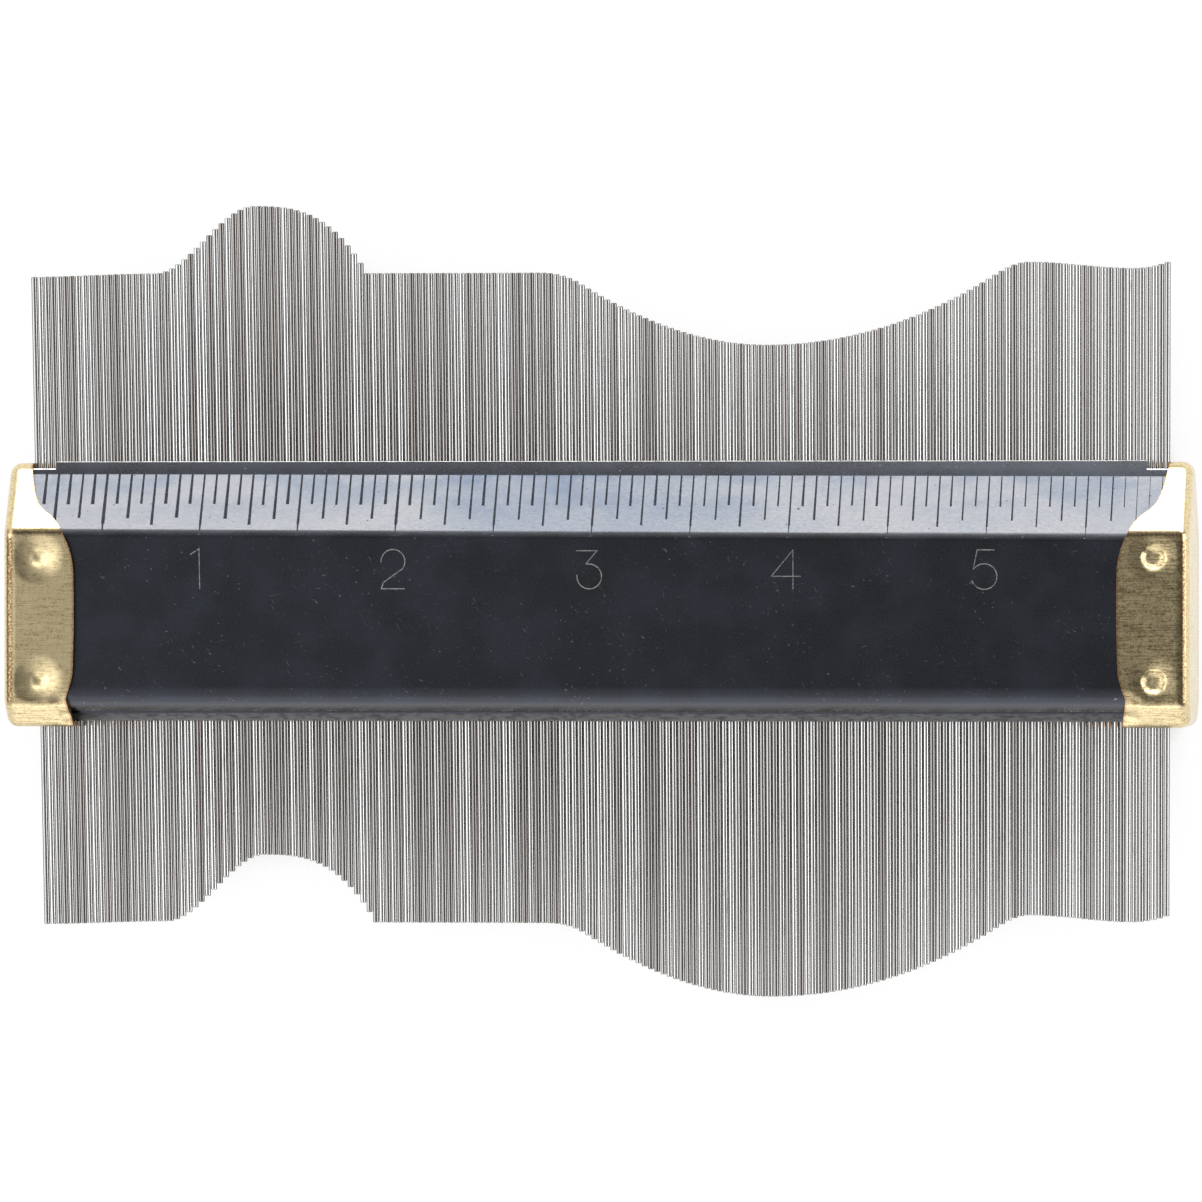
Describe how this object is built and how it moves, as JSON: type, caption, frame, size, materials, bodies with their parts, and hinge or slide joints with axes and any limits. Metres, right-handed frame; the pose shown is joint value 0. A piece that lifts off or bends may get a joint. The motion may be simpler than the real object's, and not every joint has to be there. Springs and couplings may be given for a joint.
{
  "type": "contour gauge",
  "caption": "Contour gauge: a row of fine steel needles slides between two blued steel channels with brass end caps and copies a profile.",
  "frame": {"origin": "under the middle of the gauge's box, in the plane of the end caps' backs on which it lies", "axes": "+X along the body towards the scale's high end, +Y along the needles towards the lip and scale edge, +Z out of the front face"},
  "size_m": [0.1532, 0.1018, 0.0167],
  "materials": {
    "blued_steel": "blued, worn satin",
    "brass": "brushed, tarnished",
    "needle_steel": "drawn bright",
    "felt": "pressed felt",
    "sponge": "open-cell sponge",
    "block": "moulded"
  },
  "bodies": {
    "frame": {"front_channel": "blued_steel", "rear_channel": "blued_steel", "left_end_cap": "brass", "right_end_cap": "brass", "left_end_block": "block", "right_end_block": "block", "front_felt": "felt", "rear_felt": "felt", "front_sponge": "sponge", "rear_sponge": "sponge"},
    "needles_01": {"needles_01": "needle_steel"},
    "needles_02": {"needles_02": "needle_steel"},
    "needles_03": {"needles_03": "needle_steel"},
    "needles_04": {"needles_04": "needle_steel"},
    "needles_05": {"needles_05": "needle_steel"},
    "needles_06": {"needles_06": "needle_steel"},
    "needles_07": {"needles_07": "needle_steel"},
    "needles_08": {"needles_08": "needle_steel"},
    "needles_09": {"needles_09": "needle_steel"},
    "needles_10": {"needles_10": "needle_steel"},
    "needles_11": {"needles_11": "needle_steel"},
    "needles_12": {"needles_12": "needle_steel"},
    "needles_13": {"needles_13": "needle_steel"},
    "needles_14": {"needles_14": "needle_steel"},
    "needles_15": {"needles_15": "needle_steel"},
    "needles_16": {"needles_16": "needle_steel"},
    "needles_17": {"needles_17": "needle_steel"},
    "needles_18": {"needles_18": "needle_steel"},
    "needles_19": {"needles_19": "needle_steel"},
    "needles_20": {"needles_20": "needle_steel"},
    "needles_21": {"needles_21": "needle_steel"},
    "needles_22": {"needles_22": "needle_steel"},
    "needles_23": {"needles_23": "needle_steel"},
    "needles_24": {"needles_24": "needle_steel"},
    "needles_25": {"needles_25": "needle_steel"},
    "needles_26": {"needles_26": "needle_steel"},
    "needles_27": {"needles_27": "needle_steel"},
    "needles_28": {"needles_28": "needle_steel"},
    "needles_29": {"needles_29": "needle_steel"},
    "needles_30": {"needles_30": "needle_steel"},
    "needles_31": {"needles_31": "needle_steel"},
    "needles_32": {"needles_32": "needle_steel"},
    "needles_33": {"needles_33": "needle_steel"},
    "needles_34": {"needles_34": "needle_steel"},
    "needles_35": {"needles_35": "needle_steel"},
    "needles_36": {"needles_36": "needle_steel"},
    "needles_37": {"needles_37": "needle_steel"},
    "needles_38": {"needles_38": "needle_steel"},
    "needles_39": {"needles_39": "needle_steel"},
    "needles_40": {"needles_40": "needle_steel"},
    "needles_41": {"needles_41": "needle_steel"},
    "needles_42": {"needles_42": "needle_steel"},
    "needles_43": {"needles_43": "needle_steel"},
    "needles_44": {"needles_44": "needle_steel"},
    "needles_45": {"needles_45": "needle_steel"}
  },
  "joints": [
    {"name": "slide_01", "type": "slide", "parent": "frame", "child": "needles_01", "axis": [-0.0198, 0.9998, 0], "range_m": [-0.02275, 0.02521]},
    {"name": "slide_02", "type": "slide", "parent": "frame", "child": "needles_02", "axis": [-0.0193, 0.9998, 0], "range_m": [-0.02281, 0.02511]},
    {"name": "slide_03", "type": "slide", "parent": "frame", "child": "needles_03", "axis": [-0.0188, 0.9998, 0], "range_m": [-0.02292, 0.02499]},
    {"name": "slide_04", "type": "slide", "parent": "frame", "child": "needles_04", "axis": [-0.0183, 0.9998, 0], "range_m": [-0.02303, 0.0249]},
    {"name": "slide_05", "type": "slide", "parent": "frame", "child": "needles_05", "axis": [-0.0178, 0.9998, 0], "range_m": [-0.02312, 0.02485]},
    {"name": "slide_06", "type": "slide", "parent": "frame", "child": "needles_06", "axis": [-0.0173, 0.9999, 0], "range_m": [-0.0232, 0.02366]},
    {"name": "slide_07", "type": "slide", "parent": "frame", "child": "needles_07", "axis": [-0.0168, 0.9999, 0], "range_m": [-0.02497, 0.02074]},
    {"name": "slide_08", "type": "slide", "parent": "frame", "child": "needles_08", "axis": [-0.0163, 0.9999, 0], "range_m": [-0.02808, 0.0177]},
    {"name": "slide_09", "type": "slide", "parent": "frame", "child": "needles_09", "axis": [-0.0158, 0.9999, 0], "range_m": [-0.03088, 0.01621]},
    {"name": "slide_10", "type": "slide", "parent": "frame", "child": "needles_10", "axis": [-0.0153, 0.9999, 0], "range_m": [-0.03169, 0.0162]},
    {"name": "slide_11", "type": "slide", "parent": "frame", "child": "needles_11", "axis": [-0.0148, 0.9999, 0], "range_m": [-0.03099, 0.01641]},
    {"name": "slide_12", "type": "slide", "parent": "frame", "child": "needles_12", "axis": [-0.0143, 0.9999, 0], "range_m": [-0.02916, 0.01734]},
    {"name": "slide_13", "type": "slide", "parent": "frame", "child": "needles_13", "axis": [-0.0138, 0.9999, 0], "range_m": [-0.02564, 0.01954]},
    {"name": "slide_14", "type": "slide", "parent": "frame", "child": "needles_14", "axis": [-0.0133, 0.9999, 0], "range_m": [-0.0231, 0.02356]},
    {"name": "slide_15", "type": "slide", "parent": "frame", "child": "needles_15", "axis": [-0.0128, 0.9999, 0], "range_m": [-0.0231, 0.0249]},
    {"name": "slide_16", "type": "slide", "parent": "frame", "child": "needles_16", "axis": [-0.0123, 0.9999, 0], "range_m": [-0.0231, 0.0249]},
    {"name": "slide_17", "type": "slide", "parent": "frame", "child": "needles_17", "axis": [-0.0118, 0.9999, 0], "range_m": [-0.0231, 0.0249]},
    {"name": "slide_18", "type": "slide", "parent": "frame", "child": "needles_18", "axis": [-0.0112, 0.9999, 0], "range_m": [-0.0231, 0.0249]},
    {"name": "slide_19", "type": "slide", "parent": "frame", "child": "needles_19", "axis": [-0.0107, 0.9999, 0], "range_m": [-0.0231, 0.0249]},
    {"name": "slide_20", "type": "slide", "parent": "frame", "child": "needles_20", "axis": [-0.0102, 0.9999, 0], "range_m": [-0.0231, 0.0249]},
    {"name": "slide_21", "type": "slide", "parent": "frame", "child": "needles_21", "axis": [-0.0097, 1, 0], "range_m": [-0.0229, 0.0249]},
    {"name": "slide_22", "type": "slide", "parent": "frame", "child": "needles_22", "axis": [-0.0092, 1, 0], "range_m": [-0.02154, 0.0253]},
    {"name": "slide_23", "type": "slide", "parent": "frame", "child": "needles_23", "axis": [-0.0087, 1, 0], "range_m": [-0.01962, 0.02696]},
    {"name": "slide_24", "type": "slide", "parent": "frame", "child": "needles_24", "axis": [-0.0082, 1, 0], "range_m": [-0.01795, 0.02882]},
    {"name": "slide_25", "type": "slide", "parent": "frame", "child": "needles_25", "axis": [-0.0077, 1, 0], "range_m": [-0.01654, 0.03042]},
    {"name": "slide_26", "type": "slide", "parent": "frame", "child": "needles_26", "axis": [-0.0072, 1, 0], "range_m": [-0.01541, 0.03176]},
    {"name": "slide_27", "type": "slide", "parent": "frame", "child": "needles_27", "axis": [-0.0067, 1, 0], "range_m": [-0.01456, 0.03283]},
    {"name": "slide_28", "type": "slide", "parent": "frame", "child": "needles_28", "axis": [-0.0062, 1, 0], "range_m": [-0.01401, 0.03361]},
    {"name": "slide_29", "type": "slide", "parent": "frame", "child": "needles_29", "axis": [-0.0057, 1, 0], "range_m": [-0.01376, 0.03408]},
    {"name": "slide_30", "type": "slide", "parent": "frame", "child": "needles_30", "axis": [-0.0052, 1, 0], "range_m": [-0.01375, 0.0342]},
    {"name": "slide_31", "type": "slide", "parent": "frame", "child": "needles_31", "axis": [-0.0047, 1, 0], "range_m": [-0.01385, 0.03394]},
    {"name": "slide_32", "type": "slide", "parent": "frame", "child": "needles_32", "axis": [-0.0042, 1, 0], "range_m": [-0.01416, 0.03347]},
    {"name": "slide_33", "type": "slide", "parent": "frame", "child": "needles_33", "axis": [-0.0037, 1, 0], "range_m": [-0.01468, 0.03278]},
    {"name": "slide_34", "type": "slide", "parent": "frame", "child": "needles_34", "axis": [-0.0032, 1, 0], "range_m": [-0.01543, 0.03187]},
    {"name": "slide_35", "type": "slide", "parent": "frame", "child": "needles_35", "axis": [-0.0027, 1, 0], "range_m": [-0.0164, 0.03072]},
    {"name": "slide_36", "type": "slide", "parent": "frame", "child": "needles_36", "axis": [-0.0022, 1, 0], "range_m": [-0.0176, 0.02934]},
    {"name": "slide_37", "type": "slide", "parent": "frame", "child": "needles_37", "axis": [-0.0017, 1, 0], "range_m": [-0.01904, 0.02772]},
    {"name": "slide_38", "type": "slide", "parent": "frame", "child": "needles_38", "axis": [-0.0012, 1, 0], "range_m": [-0.02073, 0.02585]},
    {"name": "slide_39", "type": "slide", "parent": "frame", "child": "needles_39", "axis": [-0.0007, 1, 0], "range_m": [-0.02266, 0.02406]},
    {"name": "slide_40", "type": "slide", "parent": "frame", "child": "needles_40", "axis": [-0.0002, 1, 0], "range_m": [-0.02418, 0.02371]},
    {"name": "slide_41", "type": "slide", "parent": "frame", "child": "needles_41", "axis": [0.0003, 1, 0], "range_m": [-0.02406, 0.02376]},
    {"name": "slide_42", "type": "slide", "parent": "frame", "child": "needles_42", "axis": [0.0009, 1, 0], "range_m": [-0.02376, 0.02401]},
    {"name": "slide_43", "type": "slide", "parent": "frame", "child": "needles_43", "axis": [0.0014, 1, 0], "range_m": [-0.02351, 0.02432]},
    {"name": "slide_44", "type": "slide", "parent": "frame", "child": "needles_44", "axis": [0.0019, 1, 0], "range_m": [-0.02345, 0.0245]},
    {"name": "slide_45", "type": "slide", "parent": "frame", "child": "needles_45", "axis": [0.0024, 1, 0], "range_m": [-0.0236, 0.02378]}
  ]
}
